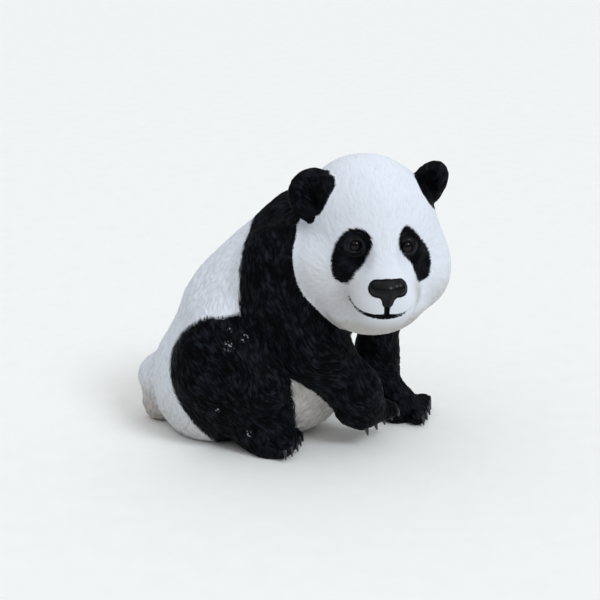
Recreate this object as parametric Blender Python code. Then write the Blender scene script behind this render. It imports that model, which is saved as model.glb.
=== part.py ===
"""A seated panda figurine, cast in one piece: it looks over its right shoulder and lifts its right front paw.

Metres, +Z up. The panda's body faces -Y and its left side is +X. The origin is under the middle of the figure.
Places and radii below are in units, shares of the figure's height: CROWN of them from the floor to its crown.
"""

import math

import bmesh
import bpy
import numpy as np
from mathutils import Matrix

HEIGHT = 0.280
CROWN = 27.26
UNIT = HEIGHT / CROWN

SETTLING_ROUNDS = 3
TRIANGLES = 9400
BALLS_IN_LIMB = 7

HEAD_CENTRE = (-2.6, -7.75, 19.4)
HEAD_TURN = 72.5
HEAD_LIFT = 4.0

CHEEKS = ((-4.7, 0.4, -2.05), (3.6, 0.4, -2.3))
EYE = 0.58
EYE_SPOTS = ((-2.35, -4.95, 0.78), (2.15, -4.95, 0.55))
NOSE = 0.7
EAR_HOLLOW = 0.68
MOUTH_CUT = 0.15
SMILE = ((0, -7.7, -4.9), (1.1, -7.6, -4.85), (2.0, -7.25, -4.65), (2.75, -6.65, -4.15), (3.1, -6.0, -3.6))
CLAW_ROOT = 0.34
CLAW_TIP = 0.20

# The mesh is as fine as the thinnest form, the tip of a claw

GRID = CLAW_TIP


class Mass:
    """One rounded volume of the sculpture: an egg, or a limb between two balls. A carving one is cut out."""

    def __init__(self, start, end, radii, blend, frame, carve):
        self.start = np.array(start, float)
        self.end = np.array(end, float)
        self.radii = radii
        self.blend = blend
        self.frame = frame
        self.carve = carve

    def distance(self, points):
        """About how far each point is outside the volume."""
        turn = np.array(self.frame.to_3x3())
        local = (points - np.array(self.frame.translation)) @ turn
        if self.radii.shape == (3,):
            offset = local - self.start
            k0 = np.linalg.norm(offset / self.radii, axis=1)
            k1 = np.linalg.norm(offset / self.radii**2, axis=1)
            return k0 * (k0 - 1.0) / np.maximum(k1, 1e-9)
        along = self.end - self.start
        share = np.clip((local - self.start) @ along / (along @ along), 0.0, 1.0)
        nearest = self.start + share[:, None] * along
        radius = self.radii[0] + share * (self.radii[1] - self.radii[0])
        return np.linalg.norm(local - nearest, axis=1) - radius


def turned(angles, centre=(0, 0, 0), inside=None):
    """A frame at centre, turned by angles in degrees about X, then Y, then Z, inside another frame."""
    x, y, z = (math.radians(a) for a in angles)
    turn = Matrix.Rotation(z, 4, "Z") @ Matrix.Rotation(y, 4, "Y") @ Matrix.Rotation(x, 4, "X")
    return (inside or Matrix()) @ Matrix.Translation(centre) @ turn


def egg(centre, radii, blend=0.8, angles=(0, 0, 0), inside=None, carve=False):
    return Mass((0, 0, 0), (0, 0, 0), np.array(radii, float), blend, turned(angles, centre, inside), carve)


def limb(start, end, thick, thin, blend=0.8, inside=None, carve=False):
    return Mass(start, end, np.array((thick, thin), float), blend, inside or Matrix(), carve)


def mirrored(point, side):
    return (side * point[0], point[1], point[2])


def torso():
    return [
        egg((0, 7.2, 4.8), (7.5, 6.3, 6.9), 0.0),
        egg((0, 4.6, 10.8), (6.9, 6.2, 6.3), 2.0),
        egg((0, 1.7, 13.9), (6.2, 6.1, 6.2), 2.0),
        egg((0, 0.6, 5.9), (6.2, 5.8, 6.1), 2.0),
        egg((0, -1.5, 17.35), (5.4, 5.8, 6.15), 2.0),
        egg((0, -3.8, 17.4), (4.6, 4.8, 5.0), 2.0, (-35, 0, 0)),
        egg((0, -1.9, 11.6), (4.8, 3.6, 4.8), 2.0),
        egg((-1.6, -4.9, 13.2), (2.2, 2.0, 2.6), 1.0),
        egg((0, 2.6, 2.2), (5.6, 3.6, 3.0), 1.0),
    ]


def tail():
    return [
        egg((0, 13.2, 4.2), (2.0, 2.1, 2.3), 1.0),
        egg((0, 13.0, 1.9), (1.9, 1.9, 2.2), 0.6),
    ]


def toes(palm, first, last, thick, thin, count, claw):
    """Toes that fan out from the palm to a row from first to last, each with its claw."""
    masses = []
    for index in range(count):
        share = index / (count - 1.0)
        tip = [a + share * (b - a) for a, b in zip(first, last)]
        root = [c + 0.45 * (t - c) for c, t in zip(palm, tip)]
        nail = [t + c for t, c in zip(tip, claw)]
        masses.append(limb(root, tip, thick, thin, 0.25))
        masses.append(limb(tip, nail, CLAW_ROOT, CLAW_TIP, 0.15))
    return masses


def hind_leg(side):
    thigh = mirrored((-5.2, 5.6, 6.8), side)
    knee = mirrored((-6.4, 1.6, 6.2), side)
    heel = mirrored((-6.2, 2.6, 2.0), side)
    palm = mirrored((-6.6, 0.8, 1.3), side)
    masses = [
        egg(thigh, (3.6, 5.0, 6.2), 0.8, (10, 0, 0)),
        egg(knee, (2.6, 3.2, 3.4), 1.5),
        limb(knee, heel, 2.4, 2.0, 1.0),
        egg(palm, (2.2, 2.3, 2.3), 0.8, (0, 0, -10 * side)),
    ]
    first, last = mirrored((-8.1, -0.7, 0.9), side), mirrored((-4.9, -1.0, 0.9), side)
    return masses + toes(palm, first, last, 0.85, 0.75, 5, mirrored((-0.03, -0.65, -0.5), side))


def raised_front_leg():
    shoulder, elbow, wrist, paw = (-4.4, 0.4, 15.6), (-4.9, -2.75, 10.0), (-3.7, -6.25, 5.65), (-3.1, -7.2, 3.6)
    masses = [
        egg(shoulder, (2.8, 4.0, 5.6), 1.5),
        limb(shoulder, elbow, 3.4, 2.95, 1.5),
        limb(elbow, wrist, 2.95, 2.25, 1.2),
        limb(wrist, paw, 2.25, 1.9, 1.0),
        egg((-3.5, -6.1, 3.5), (1.7, 1.6, 1.6), 0.8),
    ]
    return masses + toes(paw, (-3.9, -7.0, 2.55), (-1.5, -9.4, 2.9), 1.15, 0.8, 5, (0.1, -0.5, -1.1))


def standing_front_leg():
    shoulder, elbow, wrist, ankle = (4.1, -1.2, 15.6), (5.5, -6.9, 10.6), (5.8, -6.8, 6.0), (5.7, -7.4, 2.6)
    palm = (4.9, -9.2, 0.9)
    masses = [
        egg(shoulder, (2.9, 4.2, 5.4), 1.5),
        limb(shoulder, elbow, 3.4, 2.3, 1.5),
        limb(elbow, wrist, 2.2, 2.0, 1.2),
        limb(wrist, ankle, 2.0, 2.05, 1.0),
        egg(palm, (2.7, 1.95, 2.0), 1.0, (0, 0, 8)),
    ]
    return masses + toes(palm, (2.9, -11.1, 0.8), (6.9, -11.4, 0.8), 0.85, 0.75, 5, (0.03, -0.65, -0.5))


def head_frame():
    return turned((-HEAD_LIFT, 0, 0), (0, 0, 0), turned((0, 0, -HEAD_TURN), HEAD_CENTRE))


def skull(frame):
    masses = [
        egg((-0.1, 0.3, 0.8), (6.0, 6.0, 6.4), 0.0, inside=frame),
        egg((-1.1, 0.5, 3.5), (4.7, 4.8, 4.3), 1.5, inside=frame),
        egg((-0.3, -1.8, -4.7), (4.7, 4.2, 3.3), 1.5, inside=frame),
    ]
    for cheek in CHEEKS:
        masses.append(egg(cheek, (3.5, 4.2, 4.2), 1.2, inside=frame))
    return masses


def muzzle(frame):
    brow, nose_root = (0, -2.7, 2.2), (0, -5.6, -2.2)
    masses = [
        limb(brow, nose_root, 2.7, 2.1, 2.2, frame),
        egg((0, -5.0, -3.5), (3.0, 2.7, 2.2), 1.4, inside=frame),
        egg((0, -5.6, -5.1), (2.2, 2.0, 1.6), 0.9, inside=frame),
    ]
    for side in (-1, 1):
        masses.append(egg((side * 1.15, -6.3, -3.9), (1.5, 1.35, 1.2), 0.8, inside=frame))
    return masses


def mouth(frame):
    """The line of the lips, cut in from the nose down, then out to the corner of the smile on each side."""
    runs = [((0, -8.1, -3.5), SMILE[0])]
    for side in (-1, 1):
        points = [mirrored(point, side) for point in SMILE]
        runs += list(zip(points[:-1], points[1:]))
    return [limb(start, end, MOUTH_CUT, MOUTH_CUT, 0.1, frame, True) for start, end in runs]


def nose(frame):
    return [
        limb((-1.0, -7.5, -2.55), (1.0, -7.5, -2.55), NOSE, NOSE, 0.15, frame),
        limb((0, -7.55, -2.9), (0, -7.75, -3.6), NOSE, 0.3, 0.25, frame),
    ]


def eyes(frame):
    masses = []
    for side in (-1, 1):
        masses.append(egg((side * 2.5, -6.4, 0.3), (1.3, 1.45, 1.6), 0.8, inside=frame, carve=True))
    for spot in EYE_SPOTS:
        masses.append(egg(spot, (EYE, EYE, EYE), 0.15, inside=frame))
    return masses


def head():
    frame = head_frame()
    return skull(frame) + muzzle(frame) + mouth(frame) + nose(frame) + eyes(frame)


def ear(centre, radii, angles):
    """A round ear, hollowed in front."""
    frame = turned(angles, centre, head_frame())
    hollow = [EAR_HOLLOW * radius for radius in radii]
    return [
        egg((0, 0, 0), radii, 0.0, inside=frame),
        egg((0, -radii[1], 0), hollow, 0.3, inside=frame, carve=True),
    ]


def ear_fold(centre, radii, angles):
    """A bit of rim that the ear folds over or lets hang."""
    return [egg((0, 0, 0), radii, 0.25, inside=turned(angles, centre, head_frame()))]


def left_ear():
    whole = ear((5.0, 0.4, 4.95), (1.5, 1.1, 2.4), (0, 32, -20))
    return whole + ear_fold((5.5, 0.4, 3.7), (0.7, 0.6, 0.9), (0, 0, 0))


def right_ear():
    whole = ear((-5.4, -1.2, 4.55), (2.4, 1.2, 2.5), (-10, -50, 15))
    return whole + ear_fold((-4.4, -2.1, 5.1), (1.2, 0.8, 1.55), (-15, -35, 0))


def groups():
    """Each group of masses with the blend that joins it to what comes before."""
    return [
        (torso(), 0.0),
        (tail(), 0.8),
        (hind_leg(1), 0.8),
        (hind_leg(-1), 0.8),
        (raised_front_leg(), 1.2),
        (standing_front_leg(), 1.2),
        (head(), 0.8),
        (left_ear(), 0.4),
        (right_ear(), 0.4),
    ]


def smooth_least(a, b, blend):
    if blend <= 0.0:
        return np.minimum(a, b)
    gap = np.maximum(blend - np.abs(a - b), 0.0) / blend
    return np.minimum(a, b) - gap * gap * blend * 0.25


def field(points, form):
    """The signed distance to the sculpture's surface, about, with its masses run into each other."""
    whole = None
    for masses, join in form:
        part = None
        for mass in masses:
            d = mass.distance(points)
            if part is None:
                part = d
            elif mass.carve:
                part = -smooth_least(-part, d, mass.blend)
            else:
                part = smooth_least(part, d, mass.blend)
        whole = part if whole is None else smooth_least(whole, part, join)
    return whole


def spots_along(mass):
    """Where balls or eggs stand that fill a mass, with their radii."""
    if mass.radii.shape == (3,):
        return [(mass.start, mass.radii)]
    spots = []
    for share in np.linspace(0.0, 1.0, BALLS_IN_LIMB):
        radius = mass.radii[0] + share * (mass.radii[1] - mass.radii[0])
        spots.append((mass.start + share * (mass.end - mass.start), np.full(3, radius)))
    return spots


def rough_cast(form):
    """The masses as separate balls and eggs in one mesh, which the remesh runs together."""
    bm = bmesh.new()
    bmesh.ops.create_icosphere(bm, subdivisions=4, radius=1.0)
    ball = np.array([vert.co for vert in bm.verts])
    sides = np.array([[vert.index for vert in face.verts] for face in bm.faces])
    bm.free()
    points = []
    faces = []
    for masses, _ in form:
        for mass in masses:
            if mass.carve:
                continue
            turn = np.array(mass.frame.to_3x3())
            for spot, radii in spots_along(mass):
                faces.append(sides + len(points) * len(ball))
                points.append((ball * radii + spot) @ turn.T + np.array(mass.frame.translation))
    mesh = bpy.data.meshes.new("rough_cast")
    mesh.from_pydata(np.concatenate(points), [], np.concatenate(faces))
    return mesh


def evaluated_copy(obj):
    graph = bpy.context.evaluated_depsgraph_get()
    return bpy.data.meshes.new_from_object(obj.evaluated_get(graph))


def points_of(mesh):
    points = np.empty(len(mesh.vertices) * 3)
    mesh.vertices.foreach_get("co", points)
    return points.reshape(-1, 3)


def settled(mesh, form):
    """Moves the remeshed surface onto the field, evening out its vertices in between."""
    edges = np.empty(len(mesh.edges) * 2, int)
    mesh.edges.foreach_get("vertices", edges)
    edges = edges.reshape(-1, 2)
    points = points_of(mesh)
    normals = np.empty(points.size)
    valence = np.bincount(edges.ravel(), minlength=len(points))
    for _ in range(SETTLING_ROUNDS):
        for _ in range(2):
            total = np.empty_like(points)
            for axis in range(3):
                total[:, axis] = np.bincount(edges[:, 0], points[edges[:, 1], axis], len(points))
                total[:, axis] += np.bincount(edges[:, 1], points[edges[:, 0], axis], len(points))
            points = 0.5 * points + 0.5 * total / valence[:, None]
        for _ in range(2):
            mesh.vertices.foreach_set("co", points.ravel())
            mesh.update()
            mesh.vertices.foreach_get("normal", normals)
            distance = np.clip(field(points, form), -GRID, GRID)
            points = points - distance[:, None] * normals.reshape(-1, 3)
    mesh.vertices.foreach_set("co", points.ravel())
    mesh.update()


def cut_flat(mesh):
    """Cuts the underside flat at the floor and closes it."""
    bm = bmesh.new()
    bm.from_mesh(mesh)
    everything = bm.verts[:] + bm.edges[:] + bm.faces[:]
    bmesh.ops.bisect_plane(bm, geom=everything, plane_co=(0, 0, 0), plane_no=(0, 0, 1), clear_inner=True)
    rims = [edge for edge in bm.edges if edge.is_boundary]
    bmesh.ops.holes_fill(bm, edges=rims, sides=0)
    bmesh.ops.triangulate(bm, faces=bm.faces[:])
    bm.to_mesh(mesh)
    bm.free()


def cast(form):
    """The whole sculpture as one fine closed mesh, in units."""
    rough = bpy.data.objects.new("rough", rough_cast(form))
    bpy.context.collection.objects.link(rough)
    remesh = rough.modifiers.new("Remesh", "REMESH")
    remesh.mode = "VOXEL"
    remesh.voxel_size = GRID
    mesh = evaluated_copy(rough)
    bpy.data.objects.remove(rough)
    settled(mesh, form)
    return mesh


def faceted(mesh):
    """The same mesh with as many facets as a solid should have."""
    fine = bpy.data.objects.new("fine", mesh)
    bpy.context.collection.objects.link(fine)
    decimate = fine.modifiers.new("Decimate", "DECIMATE")
    decimate.ratio = TRIANGLES / (2.0 * len(mesh.polygons))
    coarse = evaluated_copy(fine)
    bpy.data.objects.remove(fine)
    return coarse


def stood_on_origin(mesh):
    """Sizes the mesh to metres, with the origin on the floor under the middle of its outline."""
    mesh.transform(Matrix.Scale(UNIT, 4))
    points = points_of(mesh)
    middle = (points.min(axis=0) + points.max(axis=0)) / 2.0
    mesh.transform(Matrix.Translation((-middle[0], -middle[1], 0.0)))


def painted_resin():
    material = bpy.data.materials.new("painted_resin")
    material.use_nodes = True
    shader = material.node_tree.nodes["Principled BSDF"]
    shader.inputs["Base Color"].default_value = (0.72, 0.73, 0.76, 1.0)
    shader.inputs["Roughness"].default_value = 0.6
    shader.inputs["Metallic"].default_value = 0.0
    return material


def build():
    for obj in list(bpy.data.objects):
        bpy.data.objects.remove(obj)
    mesh = faceted(cast(groups()))
    cut_flat(mesh)
    stood_on_origin(mesh)
    mesh.name = "panda_figurine"
    mesh.materials.clear()
    mesh.materials.append(painted_resin())
    mesh.shade_smooth()
    panda = bpy.data.objects.new("panda_figurine", mesh)
    bpy.context.collection.objects.link(panda)


build()
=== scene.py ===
"""The looks of a resin panda figurine: carved fur, painted black and white, glossy eyes, nose and claws.

Metres, +Z up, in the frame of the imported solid. The body faces -Y and the head is turned to -X.
The sculpture's masses are in units, shares of the figure's height: CROWN of them from the floor to its crown.
"""

import math

import bpy
import numpy as np
from mathutils import Matrix, Vector


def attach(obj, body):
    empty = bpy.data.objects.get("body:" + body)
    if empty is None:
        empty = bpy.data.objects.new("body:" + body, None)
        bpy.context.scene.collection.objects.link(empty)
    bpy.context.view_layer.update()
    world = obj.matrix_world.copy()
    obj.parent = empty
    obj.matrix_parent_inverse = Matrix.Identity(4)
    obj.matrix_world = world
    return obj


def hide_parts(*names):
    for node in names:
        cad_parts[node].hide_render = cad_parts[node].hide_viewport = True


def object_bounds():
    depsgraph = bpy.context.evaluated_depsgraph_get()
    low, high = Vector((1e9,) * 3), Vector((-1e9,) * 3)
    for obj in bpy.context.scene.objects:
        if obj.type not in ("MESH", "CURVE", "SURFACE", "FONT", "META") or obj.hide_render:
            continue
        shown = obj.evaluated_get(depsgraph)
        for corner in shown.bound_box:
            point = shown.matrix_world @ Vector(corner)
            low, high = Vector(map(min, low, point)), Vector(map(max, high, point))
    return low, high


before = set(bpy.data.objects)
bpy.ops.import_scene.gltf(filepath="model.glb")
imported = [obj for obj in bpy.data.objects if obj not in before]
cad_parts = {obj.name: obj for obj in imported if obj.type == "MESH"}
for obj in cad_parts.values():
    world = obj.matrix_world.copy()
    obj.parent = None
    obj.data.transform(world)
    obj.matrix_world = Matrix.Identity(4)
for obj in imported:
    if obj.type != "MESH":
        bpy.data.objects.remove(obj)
cad_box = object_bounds()

# The figure's scale and place, from the frame

SOLID = "panda_figurine"
CROWN = 27.268
MIDDLE = (-0.8775, 0.3146)
UNIT = (cad_box[1][2] - cad_box[0][2]) / CROWN
MM = 0.001 / UNIT

# The fine mesh, in units

GRID = 0.1
REACH = 1.5
FAR = 9.0
SOLE_EDGE = 0.25
SETTLING_ROUNDS = 3
DRAWING_ROUNDS = 4
STAND_OFF = 0.15

HEAD_CENTRE = (-2.6, -7.75, 19.4)
HEAD_TURN = 72.5
HEAD_LIFT = 4.0


class Mass:
    """One rounded volume of the sculpture: an egg, or a limb between two balls. A carving one is cut out."""

    def __init__(self, start, end, radii, blend, place, carve):
        self.start = np.array(start, float)
        self.end = np.array(end, float)
        self.radii = radii
        self.blend = blend
        self.turn = np.array(place.to_3x3())
        self.centre = np.array(place.translation)
        self.carve = carve

    def distance(self, points):
        """About how far each point is outside the volume, where that is less than the reach."""
        middle = self.centre + self.turn @ (0.5 * (self.start + self.end))
        size = np.linalg.norm(self.end - self.start) / 2.0 + self.radii.max() + REACH + self.blend
        near = np.flatnonzero(((points - middle) ** 2).sum(axis=1) < size * size)
        distance = np.full(len(points), FAR)
        local = (points[near] - self.centre) @ self.turn
        if self.radii.shape == (3,):
            offset = local - self.start
            k0 = np.linalg.norm(offset / self.radii, axis=1)
            k1 = np.linalg.norm(offset / self.radii**2, axis=1)
            distance[near] = k0 * (k0 - 1.0) / np.maximum(k1, 1e-9)
            return distance
        along = self.end - self.start
        share = np.clip((local - self.start) @ along / (along @ along), 0.0, 1.0)
        nearest = self.start + share[:, None] * along
        radius = self.radii[0] + share * (self.radii[1] - self.radii[0])
        distance[near] = np.linalg.norm(local - nearest, axis=1) - radius
        return distance


def turned(angles, centre=(0, 0, 0), inside=None):
    """A frame at centre, turned by angles in degrees about X, then Y, then Z, inside another frame."""
    x, y, z = (math.radians(a) for a in angles)
    turn = Matrix.Rotation(z, 4, "Z") @ Matrix.Rotation(y, 4, "Y") @ Matrix.Rotation(x, 4, "X")
    return (inside or Matrix()) @ Matrix.Translation(centre) @ turn


def egg(centre, radii, blend=0.8, angles=(0, 0, 0), inside=None, carve=False):
    return Mass((0, 0, 0), (0, 0, 0), np.array(radii, float), blend, turned(angles, centre, inside), carve)


def limb(start, end, thick, thin, blend=0.8, inside=None, carve=False):
    return Mass(start, end, np.array((thick, thin), float), blend, inside or Matrix(), carve)


def mirrored(point, side):
    return (side * point[0], point[1], point[2])


# The sculpture's masses

HEAD = turned((-HEAD_LIFT, 0, 0), (0, 0, 0), turned((0, 0, -HEAD_TURN), HEAD_CENTRE))
CHEEKS = ((-4.7, 0.4, -2.05), (3.6, 0.4, -2.3))
EYE_SPOTS = ((-2.35, -4.95, 0.78), (2.15, -4.95, 0.55))
NOSE = 0.7
EARS = (
    ((5.05, 0.4, 5.1), (1.5, 1.1, 2.25), (0, 32, -20)),
    ((-5.4, -1.2, 4.55), (2.4, 1.2, 2.5), (-10, -50, 15)),
)
EAR_FOLDS = (
    ((5.5, 0.4, 4.3), (0.7, 0.6, 0.9), (0, 0, 0)),
    ((-4.4, -2.1, 5.1), (1.2, 0.8, 1.55), (-15, -35, 0)),
)
EAR_HOLLOW = 0.68
MOUTH_CUT = 0.15
SMILE = (
    (0, -7.7, -5.02), (1.1, -7.6, -5.0), (2.0, -7.25, -4.75), (2.75, -6.65, -4.15), (3.1, -6.0, -3.55),
)
TOE_ROOT = 0.45
TOE_BLEND = 0.25


def torso():
    return [
        egg((0, 7.2, 4.8), (7.5, 6.3, 6.9), 0.0),
        egg((0, 4.6, 10.8), (6.9, 6.2, 6.3), 2.0),
        egg((0, 1.7, 13.9), (6.2, 6.1, 6.2), 2.0),
        egg((0, 0.6, 5.9), (6.2, 5.8, 6.1), 2.0),
        egg((0, -1.5, 17.35), (5.4, 5.8, 6.15), 2.0),
        egg((0, -3.8, 17.4), (4.6, 4.8, 5.0), 2.0, (-35, 0, 0)),
        egg((0, -1.9, 11.6), (4.8, 3.6, 4.8), 2.0),
        egg((-1.6, -4.9, 13.2), (2.2, 2.0, 2.6), 1.0),
        egg((0, 2.6, 2.2), (5.6, 3.6, 3.0), 1.0),
    ]


def tail():
    return [
        egg((0, 13.2, 4.2), (2.0, 2.1, 2.3), 1.0),
        egg((0, 13.0, 1.9), (1.9, 1.9, 2.2), 0.6),
    ]


def toe_tips(first, last, count=5):
    shares = [index / (count - 1.0) for index in range(count)]
    return [tuple(a + share * (b - a) for a, b in zip(first, last)) for share in shares]


def toes(paw):
    """Toes that fan out from the palm to their row of tips."""
    masses = []
    for tip in toe_tips(paw["first"], paw["last"]):
        root = [c + TOE_ROOT * (t - c) for c, t in zip(paw["palm"], tip)]
        masses.append(limb(root, tip, paw["thick"], paw["thin"], TOE_BLEND))
    return masses


def hind_paw(side):
    return {
        "palm": mirrored((-6.6, 0.8, 1.3), side),
        "first": mirrored((-8.25, -0.45, 0.9), side),
        "last": mirrored((-4.9, -1.0, 0.9), side),
        "thick": 0.85,
        "thin": 0.75,
        "rise": 0.35,
        "drop": 0.8,
    }


RAISED_PAW = {
    "palm": (-3.1, -7.2, 3.6),
    "first": (-3.9, -7.0, 2.55),
    "last": (-1.5, -9.3, 3.0),
    "thick": 1.15,
    "thin": 0.85,
    "claws_from": (-3.6, -5.6, 4.0),
    "rise": 0.0,
    "drop": 0.55,
}
STANDING_PAW = {
    "palm": (4.9, -9.2, 0.9),
    "first": (2.9, -11.4, 0.7),
    "last": (6.9, -11.4, 0.8),
    "thick": 0.85,
    "thin": 0.75,
    "rise": 0.35,
    "drop": 0.8,
}


def hind_leg(side):
    knee = mirrored((-6.4, 2.2, 6.2), side)
    heel = mirrored((-6.2, 2.7, 2.0), side)
    paw = hind_paw(side)
    masses = [
        egg(mirrored((-5.2, 5.6, 6.8), side), (3.6, 5.0, 6.2), 0.8, (10, 0, 0)),
        egg(knee, (2.6, 2.9, 3.3), 1.5),
        limb(knee, heel, 2.2, 1.95, 1.0),
        egg(paw["palm"], (2.2, 2.3, 2.3), 0.8, (0, 0, -10 * side)),
    ]
    return masses + toes(paw)


def raised_front_leg():
    shoulder, elbow, wrist = (-4.4, 0.4, 15.6), (-4.9, -2.75, 10.0), (-3.7, -6.25, 5.65)
    masses = [
        egg(shoulder, (2.8, 4.0, 5.6), 1.5),
        limb(shoulder, elbow, 3.4, 2.95, 1.5),
        limb(elbow, wrist, 2.95, 2.25, 1.2),
        limb(wrist, RAISED_PAW["palm"], 2.25, 1.9, 1.0),
        egg((-3.5, -6.1, 3.5), (1.7, 1.6, 1.6), 0.8),
    ]
    return masses + toes(RAISED_PAW)


def standing_front_leg():
    shoulder, elbow = (4.1, -1.2, 15.6), (5.5, -7.25, 10.4)
    wrist, ankle = (5.8, -6.95, 6.0), (5.7, -7.4, 2.6)
    masses = [
        egg(shoulder, (2.9, 4.2, 5.4), 1.5),
        limb(shoulder, elbow, 3.4, 2.05, 1.5),
        limb(elbow, wrist, 1.98, 1.98, 1.2),
        limb(wrist, ankle, 2.0, 2.05, 1.0),
        egg(STANDING_PAW["palm"], (2.7, 1.95, 2.0), 1.0, (0, 0, 8)),
    ]
    return masses + toes(STANDING_PAW)


def skull():
    masses = [
        egg((-0.1, 0.3, 0.8), (6.0, 6.0, 6.4), 0.0, inside=HEAD),
        egg((-1.1, 0.5, 3.5), (4.7, 4.8, 4.3), 1.5, inside=HEAD),
        egg((-0.3, -1.8, -4.7), (4.7, 4.2, 3.3), 1.5, inside=HEAD),
    ]
    for cheek in CHEEKS:
        masses.append(egg(cheek, (3.5, 4.2, 4.2), 1.2, inside=HEAD))
    return masses


def muzzle():
    brow, nose_root = (0, -2.7, 2.2), (0, -5.6, -2.2)
    masses = [
        limb(brow, nose_root, 2.7, 2.1, 2.2, HEAD),
        egg((0, -5.0, -3.5), (3.0, 2.7, 2.2), 1.4, inside=HEAD),
        egg((0, -5.6, -5.1), (2.2, 2.0, 1.6), 0.9, inside=HEAD),
    ]
    for side in (-1, 1):
        masses.append(egg((side * 1.15, -6.3, -3.9), (1.5, 1.35, 1.2), 0.8, inside=HEAD))
    return masses


def mouth_line():
    """The line of the lips, from the nose down, then out to the corner of the smile on each side."""
    runs = [((0, -8.1, -3.7), SMILE[0])]
    for side in (-1, 1):
        points = [mirrored(point, side) for point in SMILE]
        runs += list(zip(points[:-1], points[1:]))
    return runs


def mouth():
    return [limb(start, end, MOUTH_CUT, MOUTH_CUT, 0.1, HEAD, True) for start, end in mouth_line()]


def eye_sockets():
    masses = []
    for side in (-1, 1):
        masses.append(egg((side * 2.5, -6.4, 0.3), (1.3, 1.45, 1.6), 0.8, inside=HEAD, carve=True))
    return masses


def nose():
    return [
        limb((-0.75, -7.5, -2.55), (1.05, -7.5, -2.55), NOSE, NOSE, 0.1, HEAD),
        limb((0.1, -7.55, -2.85), (0.05, -7.85, -3.75), 1.0, 0.34, 0.2, HEAD),
    ]


def eyelids():
    """A ring of lid round each eye, and the hollow that the eyeball sits in."""
    masses = []
    for spot in EYE_SPOTS:
        masses.append(egg(spot, (0.92, 0.66, 0.86), 0.25, inside=HEAD))
        hollow = (spot[0], spot[1] - 0.75, spot[2])
        masses.append(egg(hollow, (0.66, 0.62, 0.62), 0.12, inside=HEAD, carve=True))
    return masses


def head():
    return skull() + muzzle() + mouth() + nose() + eye_sockets() + eyelids()


def ear(centre, radii, angles):
    """A round ear, hollowed in front."""
    place = turned(angles, centre, HEAD)
    hollow = [EAR_HOLLOW * radius for radius in radii]
    return [
        egg((0, 0, 0), radii, 0.0, inside=place),
        egg((0, -radii[1], 0), hollow, 0.3, inside=place, carve=True),
    ]


def ear_fold(centre, radii, angles):
    """A bit of rim that the ear folds over or lets hang."""
    return [egg((0, 0, 0), radii, 0.25, inside=turned(angles, centre, HEAD))]


FORM = {
    "torso": (torso(), 0.0),
    "tail": (tail(), 0.8),
    "left_hind_leg": (hind_leg(1), 0.8),
    "right_hind_leg": (hind_leg(-1), 0.8),
    "right_front_leg": (raised_front_leg(), 1.2),
    "left_front_leg": (standing_front_leg(), 1.2),
    "head": (head(), 0.8),
    "left_ear": (ear(*EARS[0]) + ear_fold(*EAR_FOLDS[0]), 0.4),
    "right_ear": (ear(*EARS[1]) + ear_fold(*EAR_FOLDS[1]), 0.4),
}


def smooth_least(a, b, blend):
    if blend <= 0.0:
        return np.minimum(a, b)
    gap = np.maximum(blend - np.abs(a - b), 0.0) / blend
    return np.minimum(a, b) - gap * gap * blend * 0.25


def joined(masses, points):
    part = np.full(len(points), FAR)
    for mass in masses:
        d = mass.distance(points)
        if mass.carve:
            part = -smooth_least(-part, d, mass.blend)
        else:
            part = smooth_least(part, d, mass.blend)
    return part


def field(points):
    """The signed distance to the sculpture's surface, about, with the underside flat on the floor."""
    whole = np.full(len(points), FAR)
    for masses, join in FORM.values():
        whole = smooth_least(whole, joined(masses, points), join)
    return -smooth_least(-whole, points[:, 2], SOLE_EDGE)


# Mesh arrays

def points_of(mesh):
    points = np.empty(len(mesh.vertices) * 3)
    mesh.vertices.foreach_get("co", points)
    return points.reshape(-1, 3)


def normals_of(mesh):
    normals = np.empty(len(mesh.vertices) * 3)
    mesh.vertices.foreach_get("normal", normals)
    return normals.reshape(-1, 3)


def linked(name, data):
    """A new object in the scene."""
    obj = bpy.data.objects.new(name, data)
    bpy.context.scene.collection.objects.link(obj)
    return obj


def place(mesh, points):
    mesh.vertices.foreach_set("co", points.ravel())
    mesh.update()


def edges_of(mesh):
    edges = np.empty(len(mesh.edges) * 2, int)
    mesh.edges.foreach_get("vertices", edges)
    return edges.reshape(-1, 2)


def evened(values, edges, valence, rounds):
    """Values at the vertices, each drawn half-way to the mean of its neighbours, some times over."""
    flat = values.reshape(len(values), -1)
    for _ in range(rounds):
        total = np.empty_like(flat)
        for axis in range(flat.shape[1]):
            total[:, axis] = np.bincount(edges[:, 0], flat[edges[:, 1], axis], len(flat))
            total[:, axis] += np.bincount(edges[:, 1], flat[edges[:, 0], axis], len(flat))
        flat = 0.5 * flat + 0.5 * total / valence[:, None]
    return flat.reshape(values.shape)


def remeshed(source, size):
    """A copy of a mesh, run into one even skin of small faces."""
    obj = linked("remesh", source.copy())
    remesh = obj.modifiers.new("Remesh", "REMESH")
    remesh.mode = "VOXEL"
    remesh.voxel_size = size
    graph = bpy.context.evaluated_depsgraph_get()
    mesh = bpy.data.meshes.new_from_object(obj.evaluated_get(graph))
    bpy.data.objects.remove(obj)
    return mesh


def drawn_in(points):
    """Points that stand off the form, as the solid's own thick claws do, drawn back onto it."""
    for _ in range(DRAWING_ROUNDS):
        off = field(points)
        loose = np.flatnonzero((off > STAND_OFF) & (off < REACH))
        slope = np.empty((len(loose), 3))
        for axis in range(3):
            step = np.zeros(3)
            step[axis] = 0.5 * GRID
            slope[:, axis] = field(points[loose] + step) - field(points[loose] - step)
        slope /= np.maximum(np.linalg.norm(slope, axis=1), 1e-9)[:, None]
        points[loose] -= off[loose, None] * slope
    return points


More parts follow.
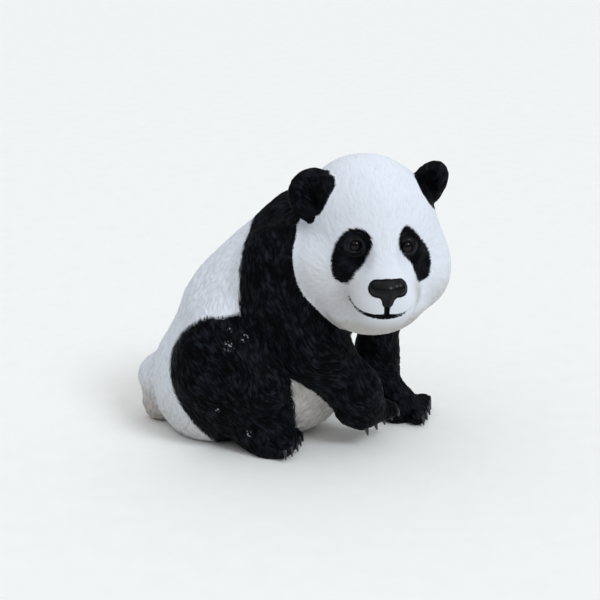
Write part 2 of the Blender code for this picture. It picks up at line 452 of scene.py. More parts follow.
def fine_cast():
    """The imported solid's mesh made fine, in units, and settled on the smooth form that it follows."""
    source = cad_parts[SOLID].data.copy()
    source.transform(Matrix.Translation((*MIDDLE, 0.0)) @ Matrix.Scale(1.0 / UNIT, 4))
    place(source, drawn_in(points_of(source)))
    mesh = remeshed(source, GRID)
    edges = edges_of(mesh)
    points = points_of(mesh)
    valence = np.bincount(edges.ravel(), minlength=len(points))
    for _ in range(SETTLING_ROUNDS):
        points = evened(points, edges, valence, 2)
        for _ in range(2):
            place(mesh, points)
            step = np.clip(field(points), -2.0 * GRID, 2.0 * GRID)
            points = points - step[:, None] * normals_of(mesh)
    place(mesh, points)
    return mesh, edges, valence


# Streaks of fur

LATTICE = 64
SEED = 11
STREAK_TAPS = 9


def lattice_noise(points, table):
    """Smooth noise about zero, one bump to each unit of the points."""
    cell = np.floor(points).astype(int)
    share = points - cell
    share = share * share * (3.0 - 2.0 * share)
    total = np.zeros(len(points))
    for x in (0, 1):
        for y in (0, 1):
            for z in (0, 1):
                spot = (cell + (x, y, z)) & (LATTICE - 1)
                weight = np.prod(np.where((x, y, z), share, 1.0 - share), axis=1)
                total += weight * table[spot[:, 0], spot[:, 1], spot[:, 2]]
    return total


def smooth_noise(points, size, seed):
    table = np.random.default_rng(seed).standard_normal((LATTICE,) * 3)
    return lattice_noise(points / size, table)


def streaks(points, flow, width, length, seed):
    """Noise drawn out along the flow, with a spread of one."""
    table = np.random.default_rng(seed).standard_normal((LATTICE,) * 3)
    total = np.zeros(len(points))
    for step in np.linspace(-0.5, 0.5, STREAK_TAPS):
        weight = math.cos(math.pi * step) + 0.1
        total += weight * lattice_noise((points + step * length * flow) / width, table)
    return total / total.std()


def smooth_step(values, start, end):
    share = np.clip((values - start) / (end - start), 0.0, 1.0)
    return share * share * (3.0 - 2.0 * share)


def tangent(vectors, normals):
    flat = vectors - (vectors * normals).sum(axis=1)[:, None] * normals
    return flat / np.maximum(np.linalg.norm(flat, axis=1), 1e-9)[:, None]


# How the fur lies

FLOW_BLEND = 1.0
SWIRL_SIZE = 2.4
SWIRL = 0.45
MUZZLE_TIP = (0, -9.0, -2.6)
EAR_LIE = 0.6
LEG_LINES = {
    "left_hind_leg": ((5.0, 10.5, 10.5), (6.4, 2.0, 6.0), (6.6, 0.6, 1.4), (6.5, -2.0, 0.6)),
    "right_hind_leg": ((-5.0, 10.5, 10.5), (-6.4, 2.0, 6.0), (-6.6, 0.6, 1.4), (-6.5, -2.0, 0.6)),
    "right_front_leg": ((-4.2, 2.2, 19.0), (-4.9, -2.75, 10.0), (-3.7, -6.25, 5.65), (-2.3, -8.6, 2.2)),
    "left_front_leg": ((4.0, 0.6, 19.0), (5.5, -6.2, 10.6), (5.8, -6.8, 4.0), (4.9, -11.6, 0.6)),
}
BODY_FLOW = (0.0, 0.45, -0.9)
TAIL_FLOW = (0.0, 0.5, -0.85)


def head_local(points):
    turn = np.array(HEAD.to_3x3())
    return (points - np.array(HEAD.translation)) @ turn


def from_head(vectors):
    return vectors @ np.array(HEAD.to_3x3()).T


def run_distance(points, start, end):
    """How far each point is from a straight run."""
    along = end - start
    share = np.clip((points - start) @ along / (along @ along), 0.0, 1.0)
    return np.linalg.norm(points - start - share[:, None] * along, axis=1)


def along_line(points, line):
    """The direction of a leg's line of bones at each point, turning smoothly from bone to bone."""
    total = np.zeros_like(points)
    for start, end in zip(line[:-1], line[1:]):
        start, end = np.array(start), np.array(end)
        bone = end - start
        distance = run_distance(points, start, end)
        total += bone / np.linalg.norm(bone) / (distance[:, None] ** 4 + 1.0)
    return total


def flow_of(points, normals, distances):
    """The direction in which the fur lies at each point."""
    total = np.zeros_like(points)
    local = head_local(points)
    for name, distance in distances.items():
        if name in LEG_LINES:
            lie = along_line(points, LEG_LINES[name])
        elif name == "head":
            lie = from_head(local - np.array(MUZZLE_TIP))
        elif name == "left_ear":
            lie = from_head(local - EAR_LIE * np.array(EARS[0][0]))
        elif name == "right_ear":
            lie = from_head(local - EAR_LIE * np.array(EARS[1][0]))
        else:
            lie = np.tile(TAIL_FLOW if name == "tail" else BODY_FLOW, (len(points), 1))
        total += tangent(lie, normals) * np.exp(-((np.maximum(distance, 0.0) / FLOW_BLEND) ** 2))[:, None]
    flow = tangent(total, normals)
    swirl = SWIRL * smooth_noise(points, SWIRL_SIZE, SEED)
    across = np.cross(normals, flow)
    return np.cos(swirl)[:, None] * flow + np.sin(swirl)[:, None] * across


# Black and white

RIGHT_PATCH = (
    (-2.43, 2.41), (-1.45, 2.1), (-1.05, 1.1), (-1.6, -0.6), (-2.5, -1.6),
    (-3.2, -2.55), (-4.1, -2.28), (-4.36, -0.8), (-4.0, 0.8), (-3.3, 1.92),
)
LEFT_PATCH = (
    (2.31, 2.45), (1.55, 2.2), (1.3, 1.2), (1.6, 0.15), (2.5, -0.9),
    (2.85, -1.8), (3.3, -2.72), (4.25, -2.5), (4.55, -1.2), (4.3, -0.1), (3.5, 1.2),
)
THIGH_PATCH = (
    (2.5, 12.6), (5.3, 12.75), (7.5, 12.2), (9.6, 10.4), (10.5, 8.4),
    (10.0, 5.8), (8.3, 3.0), (6.7, 0.9), (5.5, -1.5), (0.0, -1.5), (-1.0, 6.0),
)
EAR_BASES = (
    ((4.8, -0.5, 4.9), (1.4, 1.95, 2.2)),
    ((-5.6, -1.9, 4.75), (1.6, 1.6, 1.95)),
)
RING_STEPS = 6
THIGH_INSIDE = 2.6
YOKE_BACK = 3.78
YOKE_LOW = 9.0
YOKE_ROUND = 2.0
BELLY_WAVE = 0.5
BELLY_WAVE_SIZE = 2.2
FLANK_BACK = 6.0
FLANK_TOP = 12.7
FLANK_LOW = 7.5
LEG_TOP = 8.0
NECK_EDGE = -0.1
EAR_EDGE = 0.1
NOSE_EDGE = 0.15
LIP_LINE = 0.27
LIP_TAPER = (0.04, 0.075)
BODY_BRUSH = 0.20
NECK_BRUSH = 0.09
FACE_BRUSH = 0.12
LIP_BRUSH = 0.05
NOSE_BRUSH = 0.03
BRUSH_REACH = 4.0


def ring_through(points):
    """A closed smooth curve through some points, as short straight runs."""
    ring = np.array(points)
    before, after, beyond = (np.roll(ring, shift, axis=0) for shift in (1, -1, -2))
    runs = []
    for t in np.arange(RING_STEPS) / RING_STEPS:
        bend = (2.0 * before - 5.0 * ring + 4.0 * after - beyond) * t * t
        turn = (3.0 * ring - before - 3.0 * after + beyond) * t**3
        runs.append(0.5 * (2.0 * ring + (after - before) * t + bend + turn))
    return np.stack(runs, axis=1).reshape(-1, 2)


def outline_depth(flat, outline):
    """How far inside a closed outline each flat point is."""
    ring = ring_through(outline)
    distance = np.full(len(flat), FAR)
    inside = np.zeros(len(flat), bool)
    for start, end in zip(ring, np.roll(ring, -1, axis=0)):
        along = end - start
        distance = np.minimum(distance, run_distance(flat, start, end))
        crosses = (start[1] > flat[:, 1]) != (end[1] > flat[:, 1])
        crossing = start[0] + (flat[:, 1] - start[1]) * along[0] / (along[1] or 1e-9)
        inside ^= crosses & (flat[:, 0] < crossing)
    return np.where(inside, distance, -distance)


def lip_depth(local):
    """How far inside the painted line of the lips each point is: thick in the middle, thin at the corners."""
    depth = np.full(len(local), -FAR)
    taper = np.where(local[:, 0] < 0.0, *LIP_TAPER) * np.abs(local[:, 0])
    for index, (start, end) in enumerate(mouth_line()):
        distance = run_distance(local, np.array(start), np.array(end))
        width = LIP_LINE if index == 0 else LIP_LINE - taper
        depth = np.maximum(depth, width - distance)
    return depth


def body_ink(points, distances):
    """How far inside the black of the shoulders and legs each point is, in reaches of the brush."""
    side, back, up = np.abs(points[:, 0]), points[:, 1], points[:, 2]
    wave = BELLY_WAVE * smooth_noise(points, BELLY_WAVE_SIZE, SEED + 4)
    yoke = smooth_least(YOKE_BACK - back, up - YOKE_LOW + wave, YOKE_ROUND)
    flank = smooth_least(smooth_least(FLANK_BACK - back, FLANK_TOP - up, 0.8), up - FLANK_LOW, 1.0)
    flank = np.minimum(flank, side - THIGH_INSIDE)
    thigh = np.minimum(outline_depth(points[:, 1:], THIGH_PATCH), side - THIGH_INSIDE)
    legs = np.min([distances[name] for name in LEG_LINES], axis=0)
    legs = np.minimum(distances["torso"] - legs, np.maximum(YOKE_BACK - back, LEG_TOP - up))
    legs = np.minimum(legs, FLANK_BACK - back)
    body = np.min([distances[name] for name in ("torso", *LEG_LINES)], axis=0)
    neck = (distances["head"] - np.maximum(body, 0.0) - NECK_EDGE) / NECK_BRUSH
    return np.minimum(np.max([yoke, flank, thigh, legs], axis=0) / BODY_BRUSH, neck)


def ink_of(points, distances):
    """How far inside the black paint each point is, in reaches of the brush that painted there."""
    local = head_local(points)
    ears = np.minimum(distances["left_ear"], distances["right_ear"])
    ears = distances["head"] - ears + EAR_EDGE
    for centre, radii in EAR_BASES:
        ears = np.maximum(ears, -egg(centre, radii, inside=HEAD).distance(points))
    face = np.full(len(points), -FAR)
    front = np.flatnonzero((local[:, 1] < -2.0) & (distances["head"] < 0.3))
    for outline in (RIGHT_PATCH, LEFT_PATCH):
        face[front] = np.maximum(face[front], outline_depth(local[front][:, (0, 2)], outline))
    lips = lip_depth(local) / LIP_BRUSH
    tip = (NOSE_EDGE - joined(nose(), points)) / NOSE_BRUSH
    brushed = [body_ink(points, distances), ears / NECK_BRUSH, face / FACE_BRUSH, lips, tip]
    return np.clip(np.max(brushed, axis=0), -BRUSH_REACH, BRUSH_REACH)


# Strengths of the painted shade on the white fur, place by place.
FOLD_SPOT = (3.2, -5.6, 3.6)
FOLD_SHADE = 0.60
CHIN_SHADE = 0.72
JOWL_SHADE = 0.50
CHEEK_SHADE = 0.46
LOW_SHADE = 0.56
TAIL_SHADE = 0.38
BELLY_SHADE = 0.75


def painted_shade_of(points, distances):
    """Painted shade on the white, a warm grey-brown: low down and on the lower tail, on the belly, under the
    chin, on the jowls, in the folds of the face and over its right cheek.
    """
    local = head_local(points)
    on_head = smooth_step(distances["head"], 0.6, 0.0)
    corners = np.abs(local) - FOLD_SPOT
    corners[:, 1] = local[:, 1] - FOLD_SPOT[1]
    fold = smooth_step(np.linalg.norm(corners, axis=1), 2.2, 0.2) * (local[:, 2] < 0.0)
    chin = smooth_step(local[:, 2], -4.6, -6.6)
    jowl = smooth_step(local[:, 2], -1.5, -5.5) * smooth_step(np.abs(local[:, 0]), 3.0, 5.5)
    cheek = smooth_step(local[:, 2], 1.0, -3.5) * smooth_step(local[:, 0], 1.0, -3.5)
    shade_marks = [FOLD_SHADE * fold, CHIN_SHADE * chin, JOWL_SHADE * jowl, CHEEK_SHADE * cheek]
    face = on_head * np.max(shade_marks, axis=0)
    low = LOW_SHADE * smooth_step(points[:, 2], 7.0, 0.0)
    low += TAIL_SHADE * smooth_step(distances["tail"], 0.6, 0.0) * smooth_step(points[:, 2], 5.0, 1.5)
    belly = BELLY_SHADE * smooth_step(points[:, 1], 1.5, -1.0) * smooth_step(points[:, 2], 9.0, 6.0)
    return np.maximum(face, np.maximum(low, belly) * (1.0 - on_head))


# Spots of lacquer gloss and painted glints on the right flank, with their sizes.
GLOSS_AND_GLINT_SPOTS = (
    ((-8.0, 4.4, 10.5), 0.65),
    ((-7.3, 4.5, 11.8), 0.3),
    ((-7.25, 3.1, 11.1), 0.45),
    ((-8.55, 5.45, 4.6), 0.35),
    ((-8.3, 2.55, 2.3), 0.4),
)


def gloss_and_glint_of(points):
    """Where the black fur of the right flank carries spots of wet-looking lacquer, with painted glints of
    pale paint on them.
    """
    gloss_and_glint = np.zeros(len(points))
    for spot, size in GLOSS_AND_GLINT_SPOTS:
        gloss_and_glint = np.maximum(gloss_and_glint, smooth_step(np.linalg.norm(points - spot, axis=1), size, 0.3 * size))
    return gloss_and_glint


# The relief of the fur, in millimetres at the surface

LOCK_WIDTH = 2.0
LOCK_LENGTH = 9.0
LOCK_DEPTH = 0.5
STRAND_WIDTH = 1.35
STRAND_LENGTH = 7.0
STRAND_DEPTH = 0.22
LUMP_SIZE = 22.0
LUMP_DEPTH = 0.5
HEAD_SHARE = 0.45
EAR_SHARE = 0.55
MUZZLE_BARE = 0.75
RIDGE_MEAN = 0.82
# Painted highlight on the ridges and painted shade in the furrows, by how high the carved fur stands.
RIDGE_LIGHT_AND_SHADE = 1.2
STRAND_LIGHT_AND_SHADE = 0.4


def furriness(points, distances):
    """How deep the fur is carved at each point, as a share of the depth on the back."""
    local = head_local(points)
    share = np.ones(len(points))
    on_head = smooth_step(distances["head"], 0.8, 0.0)
    share += on_head * (HEAD_SHARE - 1.0)
    for name in ("left_ear", "right_ear"):
        share += smooth_step(distances[name], 0.5, 0.0) * (EAR_SHARE - share)
    on_muzzle = on_head * smooth_step(-local[:, 1], 4.6, 6.2) * smooth_step(local[:, 2], 0.5, -1.5)
    share *= 1.0 - MUZZLE_BARE * on_muzzle
    for spot in EYE_SPOTS:
        share *= smooth_step(np.linalg.norm(local - spot, axis=1), 0.9, 1.6)
    share *= smooth_step(joined(nose(), points), 0.0, 0.35)
    return share


def carve_fur(mesh, points, distances, edges, valence):
    """Carves locks and strands into the skin, and gives their lie, share and height to the paint, where the
    height becomes painted shade in the furrows and painted highlight on the ridges.
    """
    normals = evened(normals_of(mesh), edges, valence, 4)
    flow = flow_of(points, normals, distances)
    locks = streaks(points, flow, LOCK_WIDTH * MM, LOCK_LENGTH * MM, SEED + 1)
    strands = streaks(points, flow, STRAND_WIDTH * MM, STRAND_LENGTH * MM, SEED + 2)
    ridges = np.sqrt(np.abs(locks)) - RIDGE_MEAN
    share = furriness(points, distances)
    height = LOCK_DEPTH * ridges + STRAND_DEPTH * strands
    height += LUMP_DEPTH * smooth_noise(points, LUMP_SIZE * MM, SEED + 3)
    floor_share = smooth_step(points[:, 2], 0.0, 0.5)
    moved = points + (height * share * floor_share * MM)[:, None] * normals
    moved[:, 2] = np.maximum(moved[:, 2], 0.0)
    place(mesh, moved)
    return flow, share, np.clip(RIDGE_LIGHT_AND_SHADE * ridges + STRAND_LIGHT_AND_SHADE * strands, -1.0, 1.0) * share


# Pieces

SHOULDER_LINE = 12.0
PIECE_OF = {
    "torso": "back_and_belly",
    "tail": "back_and_belly",
    "left_hind_leg": "left_hind_leg",
    "right_hind_leg": "right_hind_leg",
    "right_front_leg": "right_front_leg",
    "left_front_leg": "left_front_leg",
    "head": "head",
    "left_ear": "ears",
    "right_ear": "ears",
}


def face_corners(mesh):
    corners = np.empty(len(mesh.loops), int)
    mesh.loops.foreach_get("vertex_index", corners)
    return corners.reshape(-1, 4)


def declared(obj):
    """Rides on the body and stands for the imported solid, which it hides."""
    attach(obj, "root")
    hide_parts(SOLID)
    return obj


def in_metres(points):
    return (points - (*MIDDLE, 0.0)) * UNIT


def part_of_skin(name, mesh, faces, layers, material):
    """One piece of the skin: some of its faces, with the whole skin's normals, so that no seam shows."""
    used, corners = np.unique(faces, return_inverse=True)
    piece = bpy.data.meshes.new(name)
    piece.vertices.add(len(used))
    piece.vertices.foreach_set("co", in_metres(points_of(mesh)[used]).ravel())
    piece.loops.add(faces.size)
    piece.loops.foreach_set("vertex_index", corners.ravel())
    piece.polygons.add(len(faces))
    piece.polygons.foreach_set("loop_start", np.arange(0, faces.size, 4))
    piece.polygons.foreach_set("use_smooth", np.ones(len(faces), bool))
    piece.update(calc_edges=True)
    for layer, values in layers.items():
        kind, key = ("FLOAT", "value") if values.ndim == 1 else ("FLOAT_VECTOR", "vector")
        piece.attributes.new(layer, kind, "POINT").data.foreach_set(key, values[used].ravel())
    piece.normals_split_custom_set_from_vertices(normals_of(mesh)[used])
    piece.materials.append(material)
    return declared(linked(name, piece))


def smooth_piece(name, points, faces, material):
    mesh = bpy.data.meshes.new(name)
    mesh.from_pydata(in_metres(np.array(points)), [], faces)
    mesh.validate()
    mesh.shade_smooth()
    mesh.materials.append(material)
    return declared(linked(name, mesh))


def ball(centre, radii, rows=32, place_in=None):
    """Points and faces of an egg, its poles on Y."""
    points = [(0.0, -radii[1], 0.0)]
    for row in range(1, rows):
        polar = math.pi * row / rows
        for column in range(2 * rows):
            angle = math.pi * column / rows
            across = radii[0] * math.sin(polar) * math.cos(angle)
            up = radii[2] * math.sin(polar) * math.sin(angle)
            points.append((across, -radii[1] * math.cos(polar), up))
    points.append((0.0, radii[1], 0.0))
    ring = 2 * rows
    faces = []
    for column in range(ring):
        faces.append((0, 1 + (column + 1) % ring, 1 + column))
        for row in range(rows - 2):
            a = 1 + row * ring + column
            b = 1 + row * ring + (column + 1) % ring
            faces.append((a, b, b + ring, a + ring))
        last = 1 + (rows - 2) * ring
        faces.append((len(points) - 1, last + column, last + (column + 1) % ring))
    place_in = (place_in or Matrix()) @ Matrix.Translation(centre)
    return [tuple(place_in @ Vector(point)) for point in points], faces


CLAW_SET = 0.84
CLAW_FORWARD = 0.3
CLAW_ROOT = 0.27
CLAW_TIP = 0.07
CLAW_ARCH = 0.45
CLAW_TAPER = 1.3
CLAW_NARROW = 0.75
CLAW_RINGS = 10
CLAW_SIDES = 12


def claw(tip, reach):
    """One curved claw: rings that shrink along an arc, closed with a point."""
    tip, reach = np.array(tip), np.array(reach)
    sideways = np.cross(reach, (0.0, 0.0, 1.0))
    sideways /= np.linalg.norm(sideways)
    arch = CLAW_ARCH * np.linalg.norm(reach)
    points = []
    faces = []
    for ring in range(CLAW_RINGS):
        share = ring / (CLAW_RINGS - 1.0)
        centre = tip + share * reach + (0.0, 0.0, arch * share * (1.0 - share))
        heading = reach + np.array((0.0, 0.0, arch * (1.0 - 2.0 * share)))
        up = np.cross(sideways, heading)
        up /= np.linalg.norm(up)
        radius = CLAW_ROOT + (CLAW_TIP - CLAW_ROOT) * share**CLAW_TAPER
        for side in range(CLAW_SIDES):
            angle = 2.0 * math.pi * side / CLAW_SIDES
            rim = CLAW_NARROW * math.cos(angle) * sideways + math.sin(angle) * up
            points.append(centre + radius * rim)
    for ring in range(CLAW_RINGS - 1):
        for side in range(CLAW_SIDES):
            a = ring * CLAW_SIDES + side
            b = ring * CLAW_SIDES + (side + 1) % CLAW_SIDES
            faces.append((a, b, b + CLAW_SIDES, a + CLAW_SIDES))
    last = (CLAW_RINGS - 1) * CLAW_SIDES
    faces.append(tuple(range(CLAW_SIDES))[::-1])
    faces.append(tuple(last + side for side in range(CLAW_SIDES)))
    return points, faces


def claws(paw, name, material):
    points = []
    faces = []
    for tip in toe_tips(paw["first"], paw["last"]):
        heading = np.array(tip) - paw.get("claws_from", paw["palm"])
        heading /= np.linalg.norm(heading)
        start = tip + CLAW_SET * paw["thin"] * heading + (0.0, 0.0, paw["rise"])
        more, sides = claw(start, CLAW_FORWARD * heading - (0.0, 0.0, paw["drop"]))
        faces += [tuple(index + len(points) for index in side) for side in sides]
        points += [(p[0], p[1], max(p[2], 0.0)) for p in more]
    smooth_piece(name, points, faces, material)


# Materials

def material_of(name):
    material = bpy.data.materials.new(name)
    material.use_nodes = True
    nodes = material.node_tree.nodes
    return material, nodes, material.node_tree.links, nodes["Principled BSDF"]


def attribute(nodes, name):
    node = nodes.new("ShaderNodeAttribute")
    node.attribute_name = name
    return node


def noise(nodes, links, coordinates, scale, detail=2.0, roughness=0.5):
    node = nodes.new("ShaderNodeTexNoise")
    node.inputs["Scale"].default_value = scale
    node.inputs["Detail"].default_value = detail
    node.inputs["Roughness"].default_value = roughness
    links.new(coordinates, node.inputs["Vector"])
    return node.outputs["Fac"]


def mapped(nodes, links, value, low, high, to_low, to_high):
    node = nodes.new("ShaderNodeMapRange")
    node.inputs["From Min"].default_value = low
    node.inputs["From Max"].default_value = high
    node.inputs["To Min"].default_value = to_low
    node.inputs["To Max"].default_value = to_high
    links.new(value, node.inputs["Value"])
    return node.outputs["Result"]


def ramp(nodes, links, value, stops):
    node = nodes.new("ShaderNodeValToRGB")
    ends = node.color_ramp.elements
    for index, (position, colour) in enumerate(stops):
        end = ends[index] if index < 2 else ends.new(position)
        end.position = position
        end.color = (*colour, 1.0)
    links.new(value, node.inputs["Fac"])
    return node.outputs["Color"]


def mixed(nodes, links, share, first, second, kind="MIX"):
    node = nodes.new("ShaderNodeMix")
    node.data_type = "RGBA"
    node.blend_type = kind
    if isinstance(share, float):
        node.inputs["Factor"].default_value = share
    else:
        links.new(share, node.inputs["Factor"])
    links.new(first, node.inputs["A"])
    links.new(second, node.inputs["B"])
    return node.outputs["Result"]


def added(nodes, links, first, second, kind="ADD", factor=None):
    node = nodes.new("ShaderNodeMath")
    node.operation = kind
    for socket, value in zip(node.inputs, (first, second, factor)):
        if isinstance(value, float):
            socket.default_value = value
        elif value is not None:
            links.new(value, socket)
    return node.outputs["Value"]


FINE_TAPS = 5
FINE_REACH = 0.0016


def fine_streaks(nodes, links, coordinates, flow, scale):
    """Hair finer than the mesh: noise averaged along the lie of the fur."""
    total = None
    for tap in range(FINE_TAPS):
        shift = nodes.new("ShaderNodeVectorMath")
        shift.operation = "MULTIPLY_ADD"
        links.new(flow, shift.inputs[0])
        shift.inputs[1].default_value = ((tap - (FINE_TAPS - 1) / 2.0) * FINE_REACH,) * 3
        links.new(coordinates, shift.inputs[2])
        value = noise(nodes, links, shift.outputs["Vector"], scale, 1.0)
        total = value if total is None else added(nodes, links, total, value)
    return added(nodes, links, total, float(FINE_TAPS), "DIVIDE")


HAIR_SCALE = 900.0
SHEEN_SCALE = 95.0
SPECK_SCALE = 560.0
# The white and black ramps run from painted shade in the furrows to painted highlight on the ridges.
WHITE = ((0.0, (0.62, 0.64, 0.68)), (0.75, (0.81, 0.86, 0.93)), (0.35, (0.77, 0.81, 0.875)))
# The warm grey-brown of the painted shade on the white fur.
PAINTED_SHADE_COLOURS = ((0.0, (0.24, 0.21, 0.19)), (0.8, (0.55, 0.50, 0.45)), (0.35, (0.42, 0.38, 0.34)))
BLACK = ((0.0, (0.0003, 0.0003, 0.0004)), (1.0, (0.014, 0.016, 0.022)), (0.5, (0.0020, 0.0022, 0.0034)))
# The pale paint of the painted glints.
PAINTED_GLINT_COLOURS = ((0.0, (0.16, 0.17, 0.19)), (1.0, (0.50, 0.52, 0.55)))
PAPER = ((0.3, (0.925, 0.93, 0.905)), (0.7, (0.945, 0.95, 0.925)))
WHITE_ROUGHNESS = 0.72
BLACK_ROUGHNESS = 0.55
COAT_ROUGHNESS = 0.28
FUR_SPECULAR = 0.04
BUMP_STRENGTH = 0.6
BUMP_DEPTH = 0.0006


def painted_fur():
    """White and black paint over carved fur: darker in the furrows and lighter on the ridges, as painted
    shade and painted highlight.
    """
    material, nodes, links, shader = material_of("painted_fur")
    coordinates = nodes.new("ShaderNodeTexCoord").outputs["Object"]
    flow = attribute(nodes, "flow").outputs["Vector"]
    depth = attribute(nodes, "ink").outputs["Fac"]
    ridge_light_furrow_shade = attribute(nodes, "ridge_light_furrow_shade").outputs["Fac"]
    painted_shade = attribute(nodes, "painted_shade").outputs["Fac"]
    gloss = attribute(nodes, "gloss").outputs["Fac"]
    fine = fine_streaks(nodes, links, coordinates, flow, HAIR_SCALE)
    fur = attribute(nodes, "fur").outputs["Fac"]
    hairs = mapped(nodes, links, fine, 0.36, 0.64, -1.5, 1.5)
    ink = mapped(nodes, links, added(nodes, links, depth, hairs), -0.5, 0.5, 0.0, 1.0)
    # Painted shade in the furrows and painted highlight on the ridges, from the carved height.
    light_and_shade_tone = mapped(nodes, links, ridge_light_furrow_shade, -1.0, 1.0, 0.10, 0.70)
    fine_tone = mapped(nodes, links, fine, 0.38, 0.62, -0.25, 0.35)
    light_and_shade_tone = added(nodes, links, added(nodes, links, fine_tone, fur, "MULTIPLY"), light_and_shade_tone)
    white = ramp(nodes, links, light_and_shade_tone, WHITE)
    # Painted shade: the white mixed towards a warm grey-brown low down, on the belly, under the chin and in
    # the folds of the face.
    shaded_white = ramp(nodes, links, light_and_shade_tone, PAINTED_SHADE_COLOURS)
    white = mixed(nodes, links, painted_shade, white, shaded_white)
    sheen = mapped(nodes, links, noise(nodes, links, coordinates, SHEEN_SCALE), 0.35, 0.65, -0.15, 0.30)
    deep = added(nodes, links, light_and_shade_tone, sheen)
    black = ramp(nodes, links, deep, BLACK)
    coloured = mixed(nodes, links, ink, white, black)
    roughness = mapped(nodes, links, ink, 0.0, 1.0, WHITE_ROUGHNESS, BLACK_ROUGHNESS)
    links.new(roughness, shader.inputs["Roughness"])
    # Specks in the spots get lacquer gloss from the coat and painted glints, pale paint mixed into the base
    # colour.
    gloss_and_glint = attribute(nodes, "gloss_and_glint").outputs["Fac"]
    speck = mapped(nodes, links, noise(nodes, links, coordinates, SPECK_SCALE, 0.0), 0.60, 0.68, 0.0, 1.0)
    gloss_and_painted_glints = added(nodes, links, added(nodes, links, speck, gloss_and_glint, "MULTIPLY"), ink, "MULTIPLY")
    links.new(added(nodes, links, gloss, gloss_and_painted_glints, "MAXIMUM"), shader.inputs["Coat Weight"])
    painted_glint = ramp(nodes, links, fine, PAINTED_GLINT_COLOURS)
    links.new(mixed(nodes, links, gloss_and_painted_glints, coloured, painted_glint), shader.inputs["Base Color"])
    shader.inputs["Coat Roughness"].default_value = COAT_ROUGHNESS
    shader.inputs["Specular IOR Level"].default_value = FUR_SPECULAR
    bump = nodes.new("ShaderNodeBump")
    bump.inputs["Strength"].default_value = BUMP_STRENGTH
    bump.inputs["Distance"].default_value = BUMP_DEPTH
    links.new(added(nodes, links, fine, fur, "MULTIPLY"), bump.inputs["Height"])
    links.new(bump.outputs["Normal"], shader.inputs["Normal"])
    return material


def glossy(name, dark, light, roughness, scale):
    """Lacquered paint with a faint mottle."""
    material, nodes, links, shader = material_of(name)
    coordinates = nodes.new("ShaderNodeTexCoord").outputs["Object"]
    mottle = noise(nodes, links, coordinates, scale, 3.0)
    links.new(ramp(nodes, links, mottle, ((0.35, dark), (0.65, light))), shader.inputs["Base Color"])
    links.new(mapped(nodes, links, mottle, 0.3, 0.7, roughness, roughness + 0.08), shader.inputs["Roughness"])
    return material


def floor_paper():
    material, nodes, links, shader = material_of("floor_paper")
    coordinates = nodes.new("ShaderNodeTexCoord").outputs["Object"]
    grain = noise(nodes, links, coordinates, 40.0, 3.0)
    links.new(ramp(nodes, links, grain, PAPER), shader.inputs["Base Color"])
    shader.inputs["Roughness"].default_value = 0.9
    return material


# The figure

EYE_BALL = 0.60
EYE_SET = 0.02
EYE_SPECULAR = 0.2
GLOSS = 0.3


def build_figure():
    mesh, edges, valence = fine_cast()
    points = points_of(mesh)
    distances = {name: joined(masses, points) for name, (masses, _) in FORM.items()}
    flow, share, ridge_light_furrow_shade = carve_fur(mesh, points, distances, edges, valence)
    local = head_local(points)
    nose_depth = smooth_step(joined(nose(), points), 0.1, 0.0)
    lids = np.zeros(len(points))
    for spot in EYE_SPOTS:
        lids = np.maximum(lids, smooth_step(np.linalg.norm(local - spot, axis=1), 1.1, 0.9))
    layers = {
        "ink": ink_of(points, distances),
        # painted shade in the furrows and painted highlight on the ridges
        "ridge_light_furrow_shade": ridge_light_furrow_shade,
        "fur": share,
        # lacquer gloss and painted glints
        "gloss_and_glint": gloss_and_glint_of(points),
        "flow": flow,
        # painted shade on the white fur
        "painted_shade": painted_shade_of(points, distances),
        "gloss": GLOSS * np.maximum(nose_depth, lids),
    }
    skin = painted_fur()
    corners = face_corners(mesh)
    nearest = np.argmin(np.stack(list(distances.values())), axis=0)[corners[:, 0]]
    names = list(PIECE_OF.values())
    owner = np.array([names.index(PIECE_OF[name]) for name in FORM])[nearest]
    back = names.index("back_and_belly")
    owner[(owner == back) & (points[corners[:, 0], 2] > SHOULDER_LINE)] = len(names)
    for index, name in enumerate(names + ["shoulders"]):
        if np.any(owner == index):
            part_of_skin(name, mesh, corners[owner == index], layers, skin)
    bpy.data.meshes.remove(mesh)


def build_small_parts():
    eye = glossy("eye_lacquer", (0.002, 0.001, 0.001), (0.006, 0.003, 0.003), 0.03, 300.0)
    eye.node_tree.nodes["Principled BSDF"].inputs["Specular IOR Level"].default_value = EYE_SPECULAR
    nail = glossy("claw_lacquer", (0.006, 0.006, 0.008), (0.030, 0.032, 0.042), 0.22, 400.0)
    for side, spot in zip(("right", "left"), EYE_SPOTS):
        centre = (spot[0], spot[1] + EYE_SET, spot[2])
        points, faces = ball(centre, (EYE_BALL,) * 3, place_in=HEAD)
        smooth_piece(side + "_eye", points, faces, eye)
    claws(hind_paw(-1), "right_hind_claws", nail)
    claws(hind_paw(1), "left_hind_claws", nail)
    claws(RAISED_PAW, "right_front_claws", nail)
    claws(STANDING_PAW, "left_front_claws", nail)


# Floor, light and camera

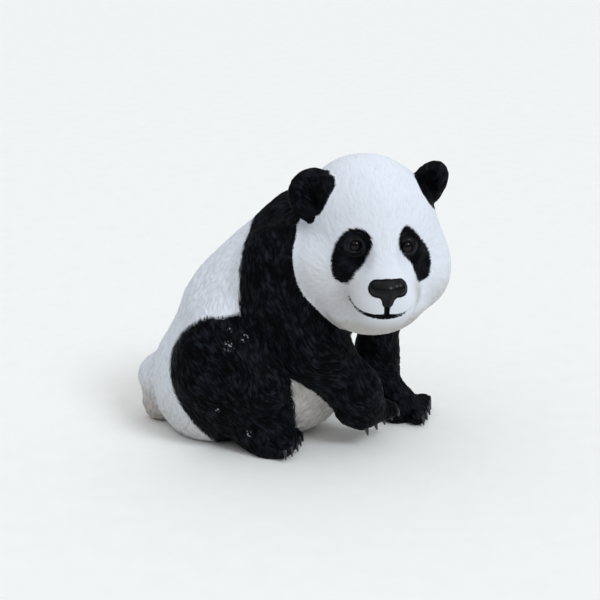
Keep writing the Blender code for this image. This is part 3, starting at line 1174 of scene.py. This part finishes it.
AZIMUTH = -78.7
ELEVATION = 17.5
CAMERA_AIM = (0.098, -0.49, 12.64)
CAMERA_DISTANCE = 160.0
FOCAL_PIXELS = 1717.0
FRAME_PIXELS = 600.0
SENSOR = 36.0
NEAREST_SEEN = 0.05
FLOOR_HALF = 6.0
WORLD_COLOUR = (0.95, 0.97, 1.0, 1.0)
WORLD_STRENGTH = 0.17
LIGHTS = (
    ("window", -34, 44, 20, 1.15, (0.90, 0.95, 1.0)),
    ("ceiling", 0, 88, 120, 1.84, (0.97, 0.98, 1.0)),
)


def view_axes(azimuth, elevation):
    a, e = math.radians(azimuth), math.radians(elevation)
    back = Vector((math.sin(a) * math.cos(e), -math.cos(a) * math.cos(e), math.sin(e)))
    right = Vector((math.cos(a), math.sin(a), 0.0))
    return right, back.cross(right), back


def add_camera():
    camera = linked("camera", bpy.data.cameras.new("camera"))
    right, up, back = view_axes(AZIMUTH, ELEVATION)
    spot = np.array(CAMERA_AIM) + CAMERA_DISTANCE * np.array(back)
    turn = Matrix((right, up, back)).transposed().to_4x4()
    camera.matrix_world = Matrix.Translation(in_metres(spot)) @ turn
    camera.data.sensor_width = SENSOR
    camera.data.lens = SENSOR * FOCAL_PIXELS / FRAME_PIXELS
    camera.data.clip_start = NEAREST_SEEN
    bpy.context.scene.camera = camera


def add_floor():
    mesh = bpy.data.meshes.new("floor")
    corners = [(x * FLOOR_HALF, y * FLOOR_HALF, 0) for x, y in ((-1, -1), (1, -1), (1, 1), (-1, 1))]
    mesh.from_pydata(corners, [], [(0, 1, 2, 3)])
    mesh.materials.append(floor_paper())
    linked("floor", mesh)


def soft_sun(name, azimuth, elevation, spread, strength, colour):
    """An even soft light from one side, as from a large window far away."""
    light = bpy.data.lights.new(name, "SUN")
    light.angle = math.radians(spread)
    light.energy = strength
    light.color = colour
    obj = linked(name, light)
    right, up, back = view_axes(azimuth, elevation)
    obj.matrix_world = Matrix((right, up, back)).transposed().to_4x4()


def add_lights():
    world = bpy.data.worlds.new("world")
    bpy.context.scene.world = world
    world.use_nodes = True
    world.node_tree.nodes["Background"].inputs["Color"].default_value = WORLD_COLOUR
    world.node_tree.nodes["Background"].inputs["Strength"].default_value = WORLD_STRENGTH
    for light in LIGHTS:
        soft_sun(*light)


build_figure()
build_small_parts()
add_floor()
add_lights()
add_camera()
bpy.context.scene.view_settings.view_transform = "Standard"
